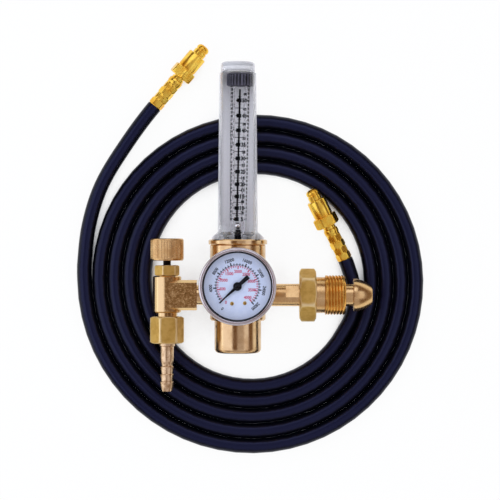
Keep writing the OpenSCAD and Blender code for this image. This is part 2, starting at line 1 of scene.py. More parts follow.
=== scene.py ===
# %% [markdown]
# # A gas regulator with a flow tube and a coil of hose
#
# A regulator brings the gas of a cylinder down to a pressure that a hose can take. This one has a
# gauge for the pressure in the cylinder, a clear flow tube with a ball that floats higher as more
# gas passes, and a valve that sets the flow. The engineered solids are already at their real size
# and in their real place. Each step below adds detail that such solids leave out, or gives a solid
# the finish that its real piece has. Lengths are in millimetres and become metres once, in MM.

# %% Load the engineered model
import json
from math import ceil, cos, hypot, pi, radians, sin, tau

import bmesh
import bpy
from mathutils import Matrix, Vector

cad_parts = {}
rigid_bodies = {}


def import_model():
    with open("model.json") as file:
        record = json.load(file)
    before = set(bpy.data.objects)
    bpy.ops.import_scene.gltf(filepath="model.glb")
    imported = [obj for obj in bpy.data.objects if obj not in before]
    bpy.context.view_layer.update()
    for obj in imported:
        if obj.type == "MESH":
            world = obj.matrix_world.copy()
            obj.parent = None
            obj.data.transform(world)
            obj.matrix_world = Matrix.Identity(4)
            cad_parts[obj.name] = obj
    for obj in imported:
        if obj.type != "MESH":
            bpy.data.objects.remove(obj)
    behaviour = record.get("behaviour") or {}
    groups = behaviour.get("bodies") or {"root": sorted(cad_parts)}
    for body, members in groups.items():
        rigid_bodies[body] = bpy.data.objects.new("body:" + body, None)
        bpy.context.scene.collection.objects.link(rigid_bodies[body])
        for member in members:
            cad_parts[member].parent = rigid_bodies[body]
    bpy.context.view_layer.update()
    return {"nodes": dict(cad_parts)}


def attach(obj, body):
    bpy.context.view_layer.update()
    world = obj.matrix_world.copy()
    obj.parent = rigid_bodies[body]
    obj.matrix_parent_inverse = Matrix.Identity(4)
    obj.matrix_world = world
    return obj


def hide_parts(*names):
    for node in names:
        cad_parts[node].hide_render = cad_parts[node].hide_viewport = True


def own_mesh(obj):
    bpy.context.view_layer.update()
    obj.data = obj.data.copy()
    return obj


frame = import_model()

MM = 0.001
scene = bpy.context.scene
scene.view_settings.view_transform = "Standard"

# %% [markdown]
# ## The camera
#
# A long lens far away keeps the tall gauge and the flat hose at nearly the same scale. The lens
# follows from two lengths that are easy to measure: the camera's height, and the width of table
# that the picture takes in.

# %% Place the camera
CAMERA_HEIGHT = 1500
PICTURE_WIDTH = 334.4
PICTURE_CENTRE = (8.03, 29.63)

camera_data = bpy.data.cameras.new("overhead_camera")
camera_data.sensor_width = 36
camera_data.lens = camera_data.sensor_width * CAMERA_HEIGHT / PICTURE_WIDTH
camera = bpy.data.objects.new("overhead_camera", camera_data)
camera.location = (PICTURE_CENTRE[0] * MM, PICTURE_CENTRE[1] * MM, CAMERA_HEIGHT * MM)
scene.collection.objects.link(camera)
scene.camera = camera
print("lens", round(camera_data.lens, 1), "mm")

# %% [markdown]
# ## Making meshes
#
# Every new piece ends in the same three steps: its points and faces become a mesh, the mesh gets
# smooth shading with crisp edges where faces meet at a steep angle, and the piece is told which
# moving body carries it. One function does that, so that each later cell shows only the shape.

# %% Turn points and faces into a piece
def new_piece(name, points, faces, body, place=Matrix.Identity(4), crease=32):
    mesh = bpy.data.meshes.new(name)
    mesh.from_pydata([Vector(p) * MM for p in points], [], faces)
    work = bmesh.new()
    work.from_mesh(mesh)
    bmesh.ops.recalc_face_normals(work, faces=work.faces)
    work.to_mesh(mesh)
    work.free()
    mesh.shade_smooth()
    mesh.set_sharp_from_angle(angle=radians(crease))
    piece = bpy.data.objects.new(name, mesh)
    scene.collection.objects.link(piece)
    piece.matrix_world = Matrix.Translation(place.translation * MM) @ place.to_3x3().to_4x4()
    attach(piece, body)
    return piece

# %% [markdown]
# ## The hose
#
# The hose is 9.8 mm rubber tube, so it is swept: a round section moves along a line and is joined
# to the section before it. The line has three parts. A free stretch comes out of the inner
# fitting and dives under the inlet, the coil is a flat spiral whose turns lie side by side, and a
# second free stretch runs to the outer fitting. The free stretches pass through a few chosen
# points on a Hermite curve, which also meets the coil and the fittings in the right direction.

# %% Follow the hose from fitting to fitting
HOSE_D = 9.8
COIL_CENTRE = Vector((10.7, 9.5, HOSE_D / 2))
COIL_FROM, COIL_TO = 30, 1620
STEPS_PER_TURN = 60
INNER_MOUTH, INNER_TURN, INNER_RISE = Vector((71.4, 23.4, 6)), 116.6, 7
OUTER_MOUTH, OUTER_TURN, OUTER_RISE = Vector((-55.4, 125.2, 8.4)), 49.7, 0
INNER_ROUTE = [(77.7, -5.7, 5), (77.4, 1.6, 5.2), (76.2, 9, 5.4), (74, 16.3, 5.6)]
OUTER_ROUTE = [(-99.3, 46.2, 5.2), (-90.8, 72.7, 6), (-74.8, 99.3, 7.2)]


def coil_point(angle):
    radius = 68 + 10 * angle / 360
    return COIL_CENTRE + radius * Vector((cos(radians(angle)), -sin(radians(angle)), 0))


def coil_heading(angle):
    return (coil_point(angle + 0.5) - coil_point(angle - 0.5)).normalized()


def direction(turn, rise):
    turn, rise = radians(turn), radians(rise)
    return Vector((cos(rise) * cos(turn), cos(rise) * sin(turn), sin(rise)))


def smooth_route(stops, leave, arrive, step):
    """Points about a step apart on a Hermite curve through the stops."""
    along = [leave] + [(b - a).normalized() for a, b in zip(stops, stops[2:])] + [arrive]
    points = []
    for a, b, ta, tb in zip(stops, stops[1:], along, along[1:]):
        span = (b - a).length
        count = ceil(span / step)
        for i in range(count):
            t = i / count
            points.append((2 * t**3 - 3 * t**2 + 1) * a + (t**3 - 2 * t**2 + t) * span * ta
                          + (3 * t**2 - 2 * t**3) * b + (t**3 - t**2) * span * tb)
    return points


coil = [coil_point(COIL_FROM + i * 360 / STEPS_PER_TURN)
        for i in range(int((COIL_TO - COIL_FROM) * STEPS_PER_TURN / 360) + 1)]
coil_start = coil[0] - HOSE_D * coil_heading(COIL_FROM)
coil_end = coil[-1] + HOSE_D * coil_heading(COIL_TO)
inner_stretch = smooth_route(
    [INNER_MOUTH] + [Vector(p) for p in reversed(INNER_ROUTE)] + [coil_start, coil[0]],
    -direction(INNER_TURN, INNER_RISE), coil_heading(COIL_FROM), 3)
outer_stretch = smooth_route(
    [coil[-1], coil_end] + [Vector(p) for p in OUTER_ROUTE] + [OUTER_MOUTH],
    coil_heading(COIL_TO), direction(OUTER_TURN, OUTER_RISE), 5)
hose_line = inner_stretch + coil[:-1] + outer_stretch + [OUTER_MOUTH]

# %% Sweep the hose along its line
def sweep(name, line, radius, sides, body, over=Vector((0, 0, 1))):
    """over is a direction that the line never takes; the section is set out from it."""
    points, faces = [], []
    for i, centre in enumerate(line):
        ahead = (line[min(i + 1, len(line) - 1)] - line[max(i - 1, 0)]).normalized()
        side = ahead.cross(over).normalized()
        up = side.cross(ahead)
        for j in range(sides):
            angle = tau * j / sides
            points.append(centre + radius * (cos(angle) * side + sin(angle) * up))
    for i in range(len(line) - 1):
        for j in range(sides):
            k = (j + 1) % sides
            faces.append((i * sides + j, i * sides + k, (i + 1) * sides + k, (i + 1) * sides + j))
    faces.append(tuple(range(sides)))
    faces.append(tuple(range((len(line) - 1) * sides, len(line) * sides)))
    return new_piece(name, points, faces, body)


hose = sweep("gas_hose", hose_line, HOSE_D / 2, 24, "hose")
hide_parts("hose_coil", "hose_inner_run", "hose_outer_run")
print("gas_hose has", len(hose.data.polygons), "faces")

# %% [markdown]
# ## Lathe work
#
# Almost everything on a regulator is made on a lathe, so one function makes it all: it turns a
# profile of (radius, height) points about the piece's own Z axis. A point may also name a form,
# which is a rule that changes the radius as the angle goes round. That is how one function makes a
# plain sleeve, a hexagon nut with turned-off corners, a screw thread and a knurled knob. A profile
# that starts on the axis is solid, and any other profile closes on itself and has a bore.

# %% Turn a profile about an axis
def turned(name, body, place, profile, steps=96, crease=32):
    points, faces, rings = [], [], []
    for radius, height, *form in profile:
        if radius == 0:
            rings.append([len(points)] * steps)
            points.append((0, 0, height))
            continue
        rings.append(range(len(points), len(points) + steps))
        for step in range(steps):
            angle = tau * step / steps
            r = form[0](radius, height, angle) if form else radius
            points.append((r * cos(angle), r * sin(angle), height))
    if profile[0][0] > 0:
        rings.append(rings[0])
    for low, high in zip(rings, rings[1:]):
        for a in range(steps):
            b = (a + 1) % steps
            face = tuple(dict.fromkeys((low[a], low[b], high[b], high[a])))
            if len(face) > 2:
                faces.append(face)
    return new_piece(name, points, faces, body, place, crease)


def arc(radius, centre, first, last, steps=6):
    """Points of (radius, height) on a rounded edge, from one angle to another in degrees."""
    angles = [radians(first + (last - first) * i / steps) for i in range(steps + 1)]
    return [(centre[0] + radius * cos(a), centre[1] + radius * sin(a)) for a in angles]


def heights(first, last, step):
    count = ceil(abs(last - first) / step)
    return [first + (last - first) * i / count for i in range(count + 1)]

# %% [markdown]
# The forms come next. A hexagon is where six planes cut the circle; adding high powers of the six
# distances instead of taking the least one leaves the corners very slightly round, as on real bar
# stock. A thread is a groove that moves up by one pitch each turn. A straight knurl is many small
# grooves along the axis, of uneven depth because the tool only presses them in.

# %% Describe nuts, threads and knurls
def hexagonal(across_corners, roll=0):
    apothem = across_corners / 2 * cos(radians(30))

    def limit(radius, height, angle):
        sides = sum(max(cos(angle - radians(roll + 60 * k + 30)), 0) ** 120 for k in range(6))
        return (radius ** -120 + sides / apothem ** 120) ** (-1 / 120)
    return limit


def threaded(pitch, depth, first, last):
    def cut(radius, height, angle):
        turn = (height / pitch - angle / tau) % 1
        groove = min(max((1 - abs(2 * turn - 1)) * 2.1 - 0.9, 0), 1)
        fade = min(max(min(height - first, last - height) / pitch, 0), 1)
        return radius - depth * groove * fade
    return cut


def knurled(ridges, depth):
    def press(radius, height, angle):
        uneven = 0.7 + 0.3 * sin(5 * angle + 1) * sin(13 * angle)
        return radius - depth * uneven * (0.5 + 0.5 * cos(ridges * angle))
    return press

# %% [markdown]
# Each lathe piece needs the line that it turns about. The inlet's lies along X and the outlet
# valve's along Y, both 23 mm above the table. The gauge's stands upright, and each hose fitting
# points its own way.

# %% Set the axes
def axis_place(origin, along, up=(0, 0, 1)):
    """Moves the lathe's Z axis to a line, with the lathe's X axis turned up."""
    z = Vector(along).normalized()
    y = z.cross(Vector(up)).normalized()
    return Matrix.Translation(origin) @ Matrix((y.cross(z), y, z)).transposed().to_4x4()


AXIS_Z = 23
VALVE_X = -46.6
GAUGE_Y = 6.3
inlet_axis = axis_place((0, 0, AXIS_Z), (1, 0, 0))
valve_axis = axis_place((VALVE_X, 0, AXIS_Z), (0, 1, 0))
gauge_axis = Matrix.Translation((0, GAUGE_Y, 0))
inner_axis = axis_place(INNER_MOUTH, direction(INNER_TURN, INNER_RISE))
outer_axis = axis_place(OUTER_MOUTH, direction(OUTER_TURN, OUTER_RISE))
print("the outlet valve is", -VALVE_X, "mm left of the gauge")

# %% [markdown]
# ## The studio
#
# Polished metal has almost no colour of its own: it shows the room. The room here is a white studio
# tent. A tall soft lamp on the left puts the broad pale band on every upright sleeve. A weaker pair
# on the right makes the second band, which brightens away from the middle. A narrow lamp behind and
# a dim one in front do the same for what points to the right. Between left and right the ceiling
# stays dark, which gives each sleeve its dark line. The lamps are a little cool, as daylight is. A
# lamp's power follows from the brightness it should have: a flat lamp of radiance L and area A
# needs pi * A * L watts.

# %% Hang the lamps
SUBJECT = Vector((5, 20, 25)) * MM
DAYLIGHT = (0.88, 0.97, 1.18)


def soft_lamp(name, toward, distance, across, tall, radiance):
    data = bpy.data.lights.new(name, "AREA")
    data.shape = "RECTANGLE"
    data.size, data.size_y = across, tall
    data.energy = pi * across * tall * radiance
    data.color = DAYLIGHT
    lamp = bpy.data.objects.new(name, data)
    away = Vector(toward).normalized()
    lamp.location = SUBJECT + distance * away
    lamp.rotation_euler = (-away).to_track_quat("-Z", "Y").to_euler()
    lamp.visible_camera = False
    scene.collection.objects.link(lamp)
    print(name, round(data.energy, 1), "W")


soft_lamp("left_lamp", (-0.83, 0, 0.56), 1.1, 1.2, 1.25, 1.15)
soft_lamp("right_lamp", (0.68, 0, 0.73), 1.2, 1.1, 0.5, 0.85)
soft_lamp("top_lamp", (0.25, 0, 0.97), 1.2, 1.0, 0.75, 0.42)
soft_lamp("rear_lamp", (0, 0.66, 0.75), 1.2, 1.1, 0.7, 1.2)
soft_lamp("front_lamp", (0, -0.75, 0.66), 1.2, 1.5, 1.3, 0.4)

# %% [markdown]
# The world is a shade that depends only on how high a direction points. Its height is the Z part of
# the direction, 0 on the horizon and 1 straight up. Polished metal sees a darker, warmer ceiling
# than matt surfaces are lit by: in a studio, black flags do that, hung where only reflections find
# them.

# %% Shade the room
def linear(colour):
    """An sRGB hex colour as the linear values that shaders work in."""
    shares = [int(colour[i:i + 2], 16) / 255 for i in (1, 3, 5)]
    return [s / 12.92 if s <= 0.04045 else ((s + 0.055) / 1.055) ** 2.4 for s in shares] + [1]


def fill(tree, node, sockets):
    """Gives each named socket a value or a link; a node as value means its first output."""
    for name, value in sockets.items():
        if isinstance(value, bpy.types.Node):
            value = value.outputs[0]
        if isinstance(value, bpy.types.NodeSocket):
            tree.links.new(value, node.inputs[name])
        else:
            node.inputs[name].default_value = value


def add_node(tree, kind, sockets=None, **settings):
    """Adds a node with its settings, and fills its sockets."""
    node = tree.nodes.new("ShaderNode" + kind)
    for name, value in settings.items():
        setattr(node, name, value)
    fill(tree, node, sockets or {})
    return node


world = bpy.data.worlds.new("tent")
scene.world = world
world.use_nodes = True
room = world.node_tree
room.nodes.clear()
look = add_node(room, "TexCoord")
height = add_node(room, "SeparateXYZ", {0: look.outputs["Generated"]})
up_high = add_node(room, "MapRange", {"Value": height.outputs["Z"], "From Min": 0.06,
                                      "From Max": 0.26}, interpolation_type="SMOOTHSTEP")
room_ray = add_node(room, "LightPath")
flags = add_node(room, "Mix", {0: room_ray.outputs["Is Glossy Ray"], 6: (0.55, 0.55, 0.55, 1),
                               7: (0.17, 0.09, 0.04, 1)}, data_type="RGBA")
not_seen = add_node(room, "Math", {0: up_high, 1: room_ray.outputs["Is Camera Ray"]},
                    operation="SUBTRACT", use_clamp=True)
air_colour = add_node(
    room, "Mix", {0: not_seen, 6: (1, 1, 1, 1), 7: flags.outputs[2]}, data_type="RGBA")
air = add_node(room, "Background", {"Color": air_colour.outputs[2], "Strength": 1.0})
add_node(room, "OutputWorld", {"Surface": air})

# %% [markdown]
# The floor is a sheet of white paper. Most of its white is light of its own, for the camera and for
# what metal and clear plastic show of it, and the rest is lit by the lamps, so it keeps a soft
# shadow. Its own light fades where the object closes the paper off from the room, as between two
# turns of the hose: ambient occlusion measures that.

# %% Lay the floor
floor_mesh = bpy.data.meshes.new("floor")
floor_mesh.from_pydata([(-3, -3, 0), (3, -3, 0), (3, 3, 0), (-3, 3, 0)], [], [(0, 1, 2, 3)])
floor = bpy.data.objects.new("floor", floor_mesh)
floor.location.z = -0.25 * MM
scene.collection.objects.link(floor)

paper = bpy.data.materials.new("white_paper")
paper.use_nodes = True
sheet = paper.node_tree
sheet.nodes.clear()
ray = add_node(sheet, "LightPath")
seen = add_node(sheet, "Math", {0: ray.outputs["Is Camera Ray"], 1: ray.outputs["Is Glossy Ray"]},
                operation="MAXIMUM")
seen = add_node(
    sheet, "Math", {0: seen, 1: ray.outputs["Is Transmission Ray"]}, operation="MAXIMUM")
open_sky = add_node(sheet, "AmbientOcclusion", {"Distance": 45 * MM}, samples=8)
open_share = add_node(sheet, "MapRange", {"Value": open_sky.outputs["AO"], "From Min": 0.13,
                                          "From Max": 0.34, "To Max": 0.94})
share = add_node(sheet, "Math", {0: seen, 1: open_share}, operation="MULTIPLY")
lit = add_node(sheet, "BsdfDiffuse", {"Color": linear("#f4f4f4")})
own = add_node(sheet, "Emission", {"Color": linear("#ffffff"), "Strength": 1.0})
both = add_node(sheet, "MixShader", {0: share, 1: lit, 2: own})
add_node(sheet, "OutputMaterial", {"Surface": both})
floor_mesh.materials.append(paper)
print("the floor is", floor.dimensions.x, "m wide")

# %% [markdown]
# ## Machined brass
#
# Brass is two thirds copper and one third zinc. Copper makes the body's castings pinkish, and bar
# stock for nuts has more zinc and looks greener. A lathe tool leaves fine rings about the axis, so
# the bump is noise that is squeezed along the axis and long the other way. A real feed of 0.1 mm is
# too fine to show, so the rings are drawn at 0.7 mm. Handling leaves faint cloudy stains a
# centimetre wide, which change the colour and the gloss together. Where nuts are gripped, their
# ridges are rubbed bright, and the pale colour there is also a painted highlight of the light that
# rounded edges catch: pointiness finds ridges, because it is high where a surface bends out.
#
# The engineered solids are made of flat facets, and polished metal shows each of them. Where such a
# solid should be round about an axis, its material works out the normal that a round surface would
# have there, and uses it if the facet's own normal is within a few degrees of it.

# %% Make machined metals
ALONG_Y, ALONG_Z = (0, 1, 0), (0, 0, 1)


def start_material(name, **sockets):
    material = bpy.data.materials.new(name)
    material.use_nodes = True
    shader = material.node_tree.nodes["Principled BSDF"]
    for socket, value in sockets.items():
        shader.inputs[socket.replace("_", " ")].default_value = value
    tree = material.node_tree
    return material, tree, shader, add_node(tree, "TexCoord")


def round_normal(tree, place, centre, axis):
    """The normal that a faceted solid would have if it were truly round about an axis."""
    flat = place.outputs["Normal"]
    off_axis = add_node(tree, "VectorMath", {0: place.outputs["Object"], 1: Vector(centre) * MM},
                        operation="SUBTRACT")
    outward = add_node(
        tree, "VectorMath", {0: off_axis, 1: [1 - part for part in axis]}, operation="MULTIPLY")
    outward = add_node(tree, "VectorMath", {0: outward}, operation="NORMALIZE")
    along = add_node(tree, "VectorMath", {0: flat, 1: axis}, operation="DOT_PRODUCT")
    squared = add_node(
        tree, "Math", {0: along.outputs["Value"], 1: along.outputs["Value"]}, operation="MULTIPLY")
    across = add_node(tree, "Math", {0: 1.0, 1: squared}, operation="SUBTRACT", use_clamp=True)
    across = add_node(tree, "Math", {0: across}, operation="SQRT")
    faces_out = add_node(tree, "VectorMath", {0: flat, 1: outward}, operation="DOT_PRODUCT")
    way = add_node(tree, "Math", {0: faces_out.outputs["Value"]}, operation="SIGN")
    reach = add_node(tree, "Math", {0: across, 1: way}, operation="MULTIPLY")
    part_out = add_node(tree, "VectorMath", {0: outward, "Scale": reach}, operation="SCALE")
    part_along = add_node(tree, "VectorMath", {0: flat, 1: axis}, operation="MULTIPLY")
    rounded = add_node(tree, "VectorMath", {0: part_out, 1: part_along}, operation="ADD")
    alike = add_node(tree, "VectorMath", {0: rounded, 1: flat}, operation="DOT_PRODUCT")
    use = add_node(
        tree, "MapRange", {"Value": alike.outputs["Value"], "From Min": 0.984, "From Max": 0.99})
    chosen = add_node(tree, "Mix", {0: use, 4: flat, 5: rounded}, data_type="VECTOR")
    return add_node(tree, "VectorTransform", {0: chosen.outputs[1]}, vector_type="NORMAL",
                    convert_from="OBJECT", convert_to="WORLD").outputs[0]


def ridge_wear_and_highlight(tree, colour, wear_and_highlight):
    """Mixes a colour in where the skin bends outwards: wear, and a painted highlight, on the
    ridges.
    """
    edge = add_node(tree, "NewGeometry")
    ridge_share = add_node(
        tree, "MapRange", {"Value": edge.outputs["Pointiness"], "From Min": 0.51, "From Max": 0.56})
    return add_node(
        tree, "Mix", {0: ridge_share, 6: colour.outputs[2], 7: linear(wear_and_highlight)}, data_type="RGBA")


def machined_metal(name, fresh, stained, axis, ring=0.7, depth=0.004, gloss=(0.13, 0.22), stain=11,
                   wear_and_highlight=None, centre=None):
    material, tree, shader, place = start_material(name, Metallic=1.0)
    across = [1 / (ring * MM) if part else 1 / (90 * MM) for part in axis]
    rings_at = add_node(tree, "Mapping", {"Vector": place.outputs["Object"], "Scale": across})
    rings = add_node(tree, "TexNoise", {"Vector": rings_at, "Scale": 1.0, "Detail": 2.0})
    clouds = add_node(tree, "TexNoise", {"Vector": place.outputs["Object"],
                                         "Scale": 1 / (stain * MM), "Detail": 4.0,
                                         "Roughness": 0.6})
    how_stained = add_node(tree, "MapRange", {"Value": clouds, "From Min": 0.42, "From Max": 0.72})
    colour = add_node(
        tree, "Mix", {0: how_stained, 6: linear(fresh), 7: linear(stained)}, data_type="RGBA")
    if wear_and_highlight:
        colour = ridge_wear_and_highlight(tree, colour, wear_and_highlight)
    dull = add_node(tree, "Math", {0: rings, 1: how_stained}, operation="ADD")
    gloss_range = add_node(tree, "MapRange", {"Value": dull, "From Min": 0.3, "From Max": 1.3,
                                              "To Min": gloss[0], "To Max": gloss[1]})
    relief = add_node(tree, "Bump", {"Height": rings, "Distance": depth * MM})
    if centre:
        fill(tree, relief, {"Normal": round_normal(tree, place, centre, axis)})
    fill(tree, shader, {"Base Color": colour.outputs[2], "Roughness": gloss_range,
                        "Normal": relief})
    return material


body_brass_y = machined_metal("turned_brass_along_y", "#dcba8c", "#c8a070", ALONG_Y,
                              gloss=(0.15, 0.26), centre=(0, 0, AXIS_Z))
case_brass = machined_metal("turned_case_brass", "#e0ba84", "#cd9f66", ALONG_Z, gloss=(0.2, 0.32),
                            centre=(0, GAUGE_Y, 0))
body_brass_z = machined_metal("turned_brass", "#e0ba84", "#cd9f66", ALONG_Z, gloss=(0.2, 0.32))
# The pale colour on the nuts' ridges is wear and also a painted highlight.
bar_brass = machined_metal("milled_bar_brass", "#dcb665", "#cca452", ALONG_Z, ring=0.5, depth=0.01,
                           gloss=(0.5, 0.64), stain=4, wear_and_highlight="#ffe9b4")
thread_brass = machined_metal("cut_thread_brass", "#e0a854", "#cd9140", ALONG_Z, gloss=(0.22, 0.34))
inner_brass = machined_metal("stamped_clock_brass", "#d8b768", "#c09c50", ALONG_Z, ring=0.4)
gold_brass = machined_metal("bright_dipped_brass", "#ffd75a", "#f0a828", ALONG_Z, ring=0.5,
                            depth=0.002, gloss=(0.2, 0.3), stain=6)
barb_brass = machined_metal("worn_turned_brass", "#e6c7a0", "#b08a60", ALONG_Z, gloss=(0.26, 0.38),
                            stain=3)
stainless = machined_metal("turned_stainless_steel", "#c4c5c9", "#aeb0b6", ALONG_Z, ring=0.3)
black_steel = machined_metal("blackened_steel", "#1d1c20", "#2a2828", ALONG_Z, ring=0.4,
                             gloss=(0.3, 0.45))
print("ten machined metals")

# %% [markdown]
# ## Sand-cast brass
#
# The outlet block is cast in sand and only its round parts are turned afterwards. The arm keeps the
# sand's grain, about half a millimetre coarse, with darker pits and small bright crystals. Two
# masks tell the skins apart: one along X, and one on how level the skin is, because only the arm's
# flat faces stay as cast.

# %% Make cast brass
def cast_brass(name, arm_from, arm_to):
    material, tree, shader, place = start_material(name, Metallic=1.0)
    where = add_node(tree, "SeparateXYZ", {0: place.outputs["Object"]})
    past = add_node(tree, "MapRange", {"Value": where.outputs["X"], "From Min": arm_from * MM,
                                       "From Max": (arm_from + 1.2) * MM})
    before = add_node(tree, "MapRange", {"Value": where.outputs["X"], "From Min": arm_to * MM,
                                         "From Max": (arm_to + 0.4) * MM, "To Min": 1.0,
                                         "To Max": 0.0})
    flat = add_node(tree, "NewGeometry")
    facing = add_node(tree, "SeparateXYZ", {0: flat.outputs["Normal"]})
    level = add_node(tree, "Math", {0: facing.outputs["Z"]}, operation="ABSOLUTE")
    level = add_node(tree, "MapRange", {"Value": level, "From Min": 0.8, "From Max": 0.97})
    arm = add_node(tree, "Math", {0: past, 1: before}, operation="MULTIPLY")
    skin = add_node(tree, "Math", {0: arm, 1: level}, operation="MULTIPLY")
    grain = add_node(tree, "TexNoise", {"Vector": place.outputs["Object"], "Scale": 1 / (1.5 * MM),
                                        "Detail": 6.0, "Roughness": 0.75, "Distortion": 0.6})
    rings_at = add_node(
        tree, "Mapping", {"Vector": place.outputs["Object"], "Scale": (11, 1 / (0.7 * MM), 11)})
    rings = add_node(tree, "TexNoise", {"Vector": rings_at, "Scale": 1.0, "Detail": 2.0})
    pits = add_node(tree, "ValToRGB", {"Fac": grain})
    pit, crystal = pits.color_ramp.elements
    pit.position, pit.color = 0.34, linear("#74512c")
    crystal.position, crystal.color = 0.66, linear("#e6c792")
    pits.color_ramp.elements.new(0.52).color = linear("#a9804e")
    colour = add_node(tree, "Mix", {0: skin, 6: linear("#e3c290"), 7: pits}, data_type="RGBA")
    gloss = add_node(tree, "MapRange", {"Value": skin, "To Min": 0.18, "To Max": 0.55})
    fine = add_node(tree, "Math", {0: rings, 1: 0.015}, operation="MULTIPLY")
    height = add_node(tree, "Mix", {0: skin, 2: fine, 3: grain})
    relief = add_node(tree, "Bump", {"Height": height, "Distance": 0.35 * MM,
                                     "Normal": round_normal(tree, place, (VALVE_X, 0, AXIS_Z),
                                                            ALONG_Y)})
    fill(tree, shader, {"Base Color": colour.outputs[2], "Roughness": gloss, "Normal": relief})
    return material


ARM_FROM, ARM_TO = VALVE_X - 2, -27.3
tee_brass = cast_brass("sand_cast_brass", ARM_FROM, ARM_TO)
print("the cast skin is", round(ARM_TO - ARM_FROM, 1), "mm long")

# %% [markdown]
# ## Rubber, plastic and paint
#
# Moulded nylon is near black and a little rough. The dial is enamelled sheet, and its figures are
# printed on with ink. Each of them gets a fine speckle in colour and relief at its own real grain.

# %% Make rubber, plastic, enamel and ink
def grained(name, dark, light, grain, depth, roughness, wear_and_highlight=None, **sockets):
    """A non-metal with a speckled colour and a fine uneven skin; grain is its size in mm."""
    material, tree, shader, place = start_material(name, Roughness=roughness, **sockets)
    speckle = add_node(tree, "TexNoise", {"Vector": place.outputs["Object"],
                                          "Scale": 1 / (grain * MM), "Detail": 4.0})
    spread = add_node(tree, "MapRange", {"Value": speckle, "From Min": 0.35, "From Max": 0.65})
    colour = add_node(tree, "Mix", {0: spread, 6: linear(dark), 7: linear(light)}, data_type="RGBA")
    if wear_and_highlight:
        colour = ridge_wear_and_highlight(tree, colour, wear_and_highlight)
    relief = add_node(tree, "Bump", {"Height": speckle, "Distance": depth * MM})
    fill(tree, shader, {"Base Color": colour.outputs[2], "Normal": relief})
    return material


seal_rubber = grained("moulded_nitrile_rubber", "#0b0b0d", "#141416", 0.8, 0.01, 0.55)
nylon = grained("moulded_black_nylon", "#07060b", "#14121b", 0.7, 0.01, 0.4,
                Specular_IOR_Level=0.15)
# The grey on the crests of the cap's ribs is a painted highlight.
ribbed_nylon = grained("ribbed_black_nylon", "#07060b", "#14121b", 0.7, 0.01, 0.4, wear_and_highlight="#5a5766",
                       Specular_IOR_Level=0.15)
dial_enamel = grained("blue_grey_dial_enamel", "#cfd8f2", "#d6def5", 2.5, 0.004, 0.4)
pointer_paint = grained("black_pointer_lacquer", "#04050c", "#070812", 0.8, 0.004, 0.5,
                        Specular_IOR_Level=0.2)
black_ink = grained("black_printing_ink", "#05081e", "#0a0e28", 0.5, 0.002, 0.5,
                    Specular_IOR_Level=0.2)
red_ink = grained("red_printing_ink", "#c01848", "#cc2a5c", 0.5, 0.002, 0.5)
scale_ink = grained("black_scale_ink", "#020204", "#060608", 0.5, 0.002, 0.6,
                    Specular_IOR_Level=0.03)
sintered = grained("sintered_bronze", "#6d4f2c", "#a57e48", 0.25, 0.1, 0.6, Metallic=1.0)
plated = grained("bright_nickel_plating", "#cac3c6", "#d3ccd0", 3, 0.003, 0.16, Metallic=1.0)
chrome = grained("polished_bearing_steel", "#f0f0f2", "#f6f6f8", 2, 0.001, 0.24, Metallic=1.0)
print("eleven rubbers, plastics, paints and platings")

# %% [markdown]
# The hose is black synthetic rubber. A soft blue-grey band of painted light lies on top of the
# turns, while their sides and the gaps between them stay jet black. The band follows how far the
# skin faces up. Extrusion leaves a satin skin with a faint grain.

# %% Make hose rubber
def rubber_with_painted_top_light(name, rubber_black, painted_top_light):
    material, tree, shader, place = start_material(name, Roughness=0.27, Specular_IOR_Level=0.28,
                                            Specular_Tint=linear("#c4c8fa"))
    skin = add_node(tree, "TexNoise", {"Vector": place.outputs["Object"], "Scale": 1 / (1.6 * MM),
                                       "Detail": 4.0})
    # Painted light: where the skin faces up, the colour turns blue-grey as if lit from above, and
    # the sides keep the rubber's own black.
    facing = add_node(tree, "SeparateXYZ", {0: place.outputs["Normal"]})
    uneven = add_node(tree, "MapRange", {"Value": skin, "From Min": 0.3, "From Max": 0.7,
                                         "To Min": -0.06, "To Max": 0.06})
    top = add_node(tree, "Math", {0: facing.outputs["Z"], 1: uneven}, operation="ADD")
    haze = add_node(tree, "MapRange", {"Value": top, "From Min": 0.75, "From Max": 0.97},
                    interpolation_type="SMOOTHSTEP")
    colour = add_node(tree, "Mix", {0: haze, 6: linear(rubber_black), 7: linear(painted_top_light)}, data_type="RGBA")
    relief = add_node(tree, "Bump", {"Height": skin, "Distance": 0.02 * MM})
    fill(tree, shader, {"Base Color": colour.outputs[2], "Normal": relief})
    return material


hose_rubber = rubber_with_painted_top_light("extruded_synthetic_rubber", "#020308", "#11132b")
print("one hose rubber")

# %% [markdown]
# ## Clear plastic
#
# The lens, the metering tube and the cover let light through and bend it, so each gets its real
# index of refraction: 1.58 for polycarbonate and 1.49 for acrylic. The cover's back half and its
# closed end are frosted, as on most flow tubes, so that the black figures read against something
# pale, and the shoulders of its thick foot are a little milky, as thick mouldings of this plastic
# are. The edge of a thick tube looks dark, because light that enters there has a long way to go: a
# Layer Weight node darkens it. A path tracer finds lamps badly through bent light, so rays on their
# way to a lamp pass straight.

